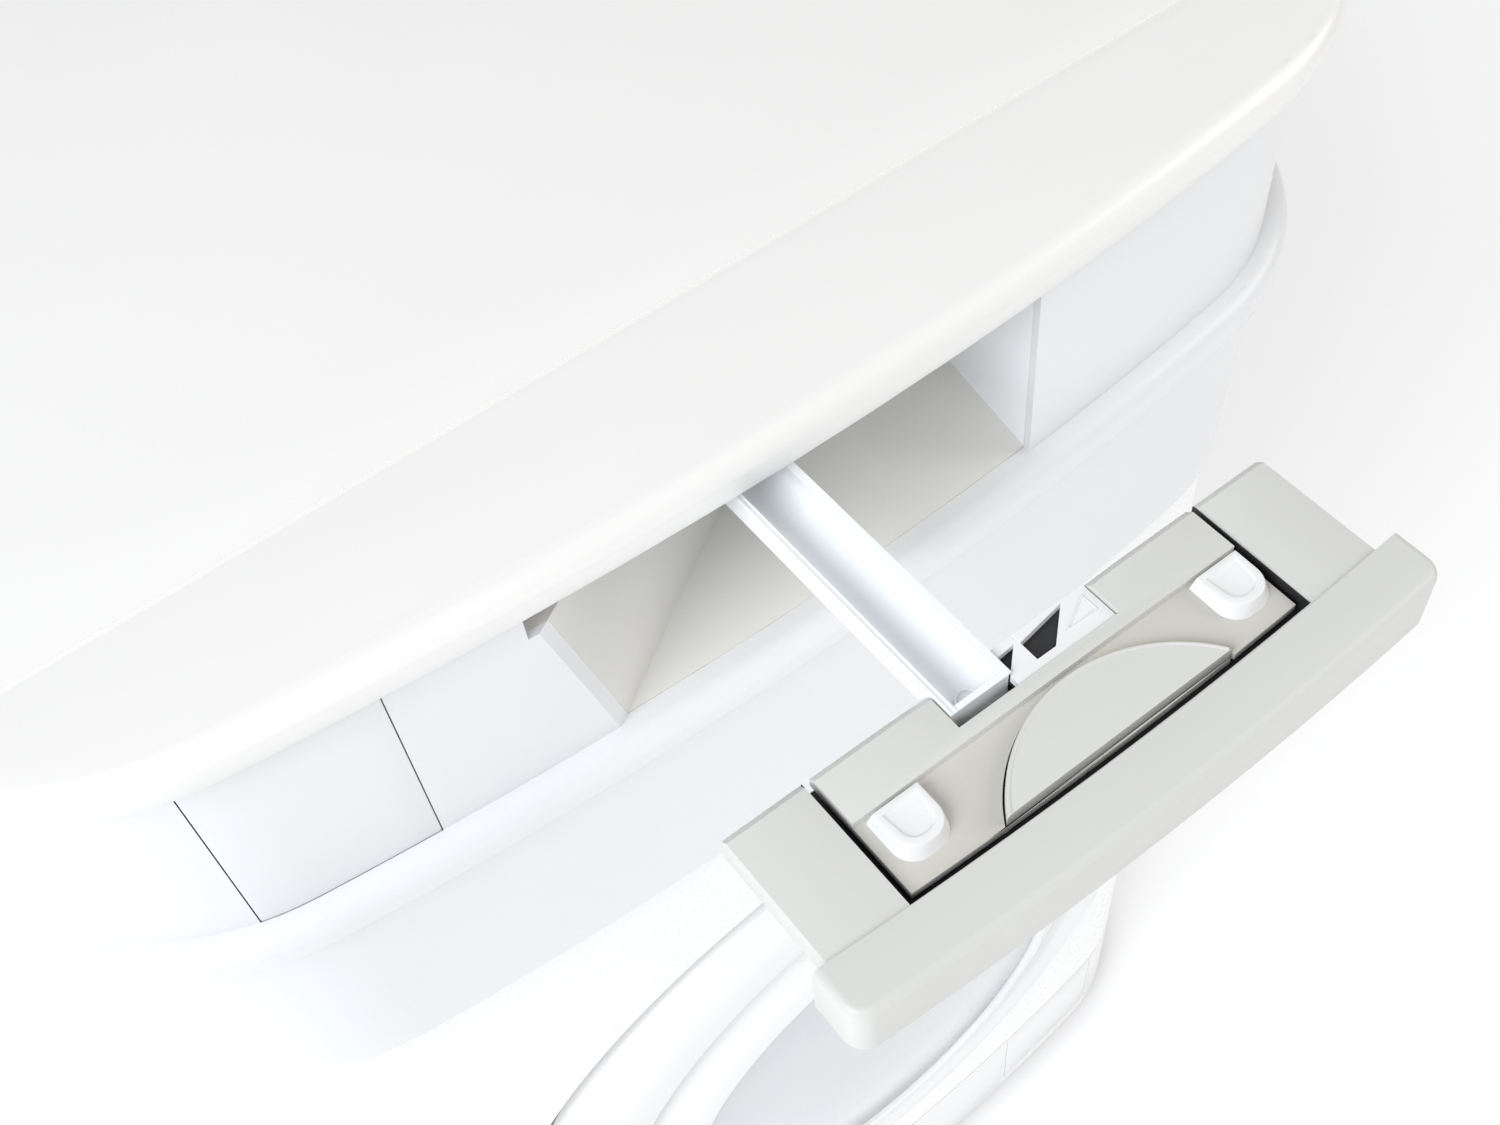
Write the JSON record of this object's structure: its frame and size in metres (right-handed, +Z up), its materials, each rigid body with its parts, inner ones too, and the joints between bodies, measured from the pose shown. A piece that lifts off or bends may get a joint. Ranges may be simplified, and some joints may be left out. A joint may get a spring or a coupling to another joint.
{
  "type": "front load washing machine",
  "caption": "Free-standing front-loading washing machine with a round door and a detergent drawer in a bowed console under an overhanging lid.",
  "frame": {"origin": "centre of the bounding box's base, on the floor, with the detergent drawer pulled out", "axes": "+X to the machine's right seen from the front, +Y from the front to the rear, +Z up"},
  "size_m": [0.6, 0.748, 0.85],
  "materials": {
    "white_lid": "satin off-white",
    "white_console": "satin cool white",
    "grey_recess": "satin",
    "grey_plastic": "matte",
    "drawer_plastic": "satin light grey",
    "white_plastic": "satin",
    "circuit_board": "matte",
    "enamel": "gloss enamel",
    "galvanised": "galvanised",
    "dark_plastic": "matte",
    "foot_plastic": "matte",
    "zinc": "zinc plated",
    "window": "clear",
    "grey_rubber": "matte",
    "black_rubber": "matte",
    "tub_plastic": "matte",
    "drum_steel": "stainless",
    "cast_metal": "cast",
    "bearing_steel": "ground",
    "motor_case": "satin",
    "concrete": "rough"
  },
  "bodies": {
    "cabinet": {"worktop": "white_lid", "console": "white_console", "drawer_recess": "grey_recess", "dispenser_housing": "grey_plastic", "control_panel": "grey_recess", "control_board": "circuit_board", "front_panel": "enamel", "side_sheets": "enamel", "rear_panel": "galvanised", "base_tray": "dark_plastic", "top_frame": "galvanised", "kick_plate": "white_plastic", "cabinet_fasteners": "zinc", "hinge_bracket": "zinc", "hinge_pins": "zinc", "door_lock": "dark_plastic", "door_gasket": "grey_rubber", "tub_front": "tub_plastic", "tub_rear": "tub_plastic", "shaft_bearings": "bearing_steel", "shaft_seal": "black_rubber", "drive_belt": "black_rubber", "motor": "motor_case", "counterweights": "concrete", "heater": "drum_steel", "tub_suspension": "zinc", "drain_pump": "dark_plastic", "water_hoses": "black_rubber", "inlet_valve": "grey_plastic", "cord_gland": "dark_plastic"},
    "drawer": {"drawer_front": "drawer_plastic", "drawer_insert": "drawer_plastic", "insert_clips": "drawer_plastic", "detergent_trough": "drawer_plastic", "trough_bracket": "drawer_plastic"},
    "press": {"release_press": "drawer_plastic"},
    "flap": {"control_flap": "white_console"},
    "knob": {"programme_knob": "white_plastic"},
    "option_button": {"option_key": "white_plastic"},
    "start_button": {"start_key": "white_plastic"},
    "door": {"door_frame": "white_plastic", "door_cover": "white_plastic", "door_window": "window", "door_inner_ring": "white_plastic", "door_bowl": "window", "hinge_arm": "zinc"},
    "handle": {"door_handle": "white_plastic", "latch_hook": "zinc"},
    "drum": {"drum_shell": "drum_steel", "drum_lifters": "drum_steel", "drum_spider": "cast_metal", "drum_pulley": "cast_metal"},
    "rotor": {"motor_shaft": "bearing_steel"},
    "impeller": {"pump_impeller": "white_plastic"},
    "filter": {"filter_cap": "dark_plastic"},
    "service_flap": {"filter_flap": "white_plastic"},
    "foot_fl": {"foot_front_left": "foot_plastic"},
    "foot_fr": {"foot_front_right": "foot_plastic"},
    "foot_rl": {"foot_rear_left": "foot_plastic"},
    "foot_rr": {"foot_rear_right": "foot_plastic"}
  },
  "joints": [
    {"name": "drawer_slide", "type": "slide", "parent": "cabinet", "child": "drawer", "axis": [0, 1, 0], "range_m": [0, 0.139]},
    {"name": "press_push", "type": "slide", "parent": "drawer", "child": "press", "axis": [0, 0, -1], "range_m": [0, 0.0025], "stiffness_N_per_m": 600},
    {"name": "flap_hinge", "type": "hinge", "parent": "cabinet", "child": "flap", "pos_m": [-0.1859, -0.1979, 0.745], "axis": [0.9903, -0.1391, 0], "range_deg": [0, 80]},
    {"name": "knob_turn", "type": "hinge", "parent": "cabinet", "child": "knob", "pos_m": [-0.1859, -0.17, 0.805], "axis": [0, 1, 0], "continuous": true},
    {"name": "option_press", "type": "slide", "parent": "cabinet", "child": "option_button", "axis": [0, 1, 0], "range_m": [0, 0.0025], "stiffness_N_per_m": 400},
    {"name": "start_press", "type": "slide", "parent": "cabinet", "child": "start_button", "axis": [0, 1, 0], "range_m": [0, 0.0025], "stiffness_N_per_m": 400},
    {"name": "door_hinge", "type": "hinge", "parent": "cabinet", "child": "door", "pos_m": [-0.212, -0.22, 0.345], "axis": [0, 0, -1], "range_deg": [0, 130]},
    {"name": "handle_pull", "type": "hinge", "parent": "door", "child": "handle", "pos_m": [0.156, -0.214, 0.345], "axis": [0, 0, -1], "range_deg": [0, 6], "stiffness_Nm_per_rad": 0.6},
    {"name": "drum_spin", "type": "hinge", "parent": "cabinet", "child": "drum", "pos_m": [0, 0.024, 0.345], "axis": [0, 1, 0], "continuous": true},
    {"name": "motor_spin", "type": "hinge", "parent": "cabinet", "child": "rotor", "pos_m": [0.172, 0.174, 0.112], "axis": [0, 1, 0], "continuous": true},
    {"name": "impeller_spin", "type": "hinge", "parent": "cabinet", "child": "impeller", "pos_m": [0.165, -0.094, 0.07], "axis": [0, 1, 0], "continuous": true},
    {"name": "filter_turn", "type": "hinge", "parent": "cabinet", "child": "filter", "pos_m": [0.165, -0.186, 0.07], "axis": [0, 1, 0], "continuous": true},
    {"name": "service_flap_hinge", "type": "hinge", "parent": "cabinet", "child": "service_flap", "pos_m": [0.165, -0.209, 0.029], "axis": [1, 0, 0], "range_deg": [0, 85]},
    {"name": "foot_fl_turn", "type": "hinge", "parent": "cabinet", "child": "foot_fl", "pos_m": [-0.222, -0.131, 0.018], "axis": [0, 0, 1], "continuous": true},
    {"name": "foot_fr_turn", "type": "hinge", "parent": "cabinet", "child": "foot_fr", "pos_m": [0.222, -0.131, 0.018], "axis": [0, 0, 1], "continuous": true},
    {"name": "foot_rl_turn", "type": "hinge", "parent": "cabinet", "child": "foot_rl", "pos_m": [-0.222, 0.314, 0.018], "axis": [0, 0, 1], "continuous": true},
    {"name": "foot_rr_turn", "type": "hinge", "parent": "cabinet", "child": "foot_rr", "pos_m": [0.222, 0.314, 0.018], "axis": [0, 0, 1], "continuous": true}
  ],
  "couplings": [
    {"joint": "motor_spin", "follows": "drum_spin", "ratio": 12.727}
  ]
}
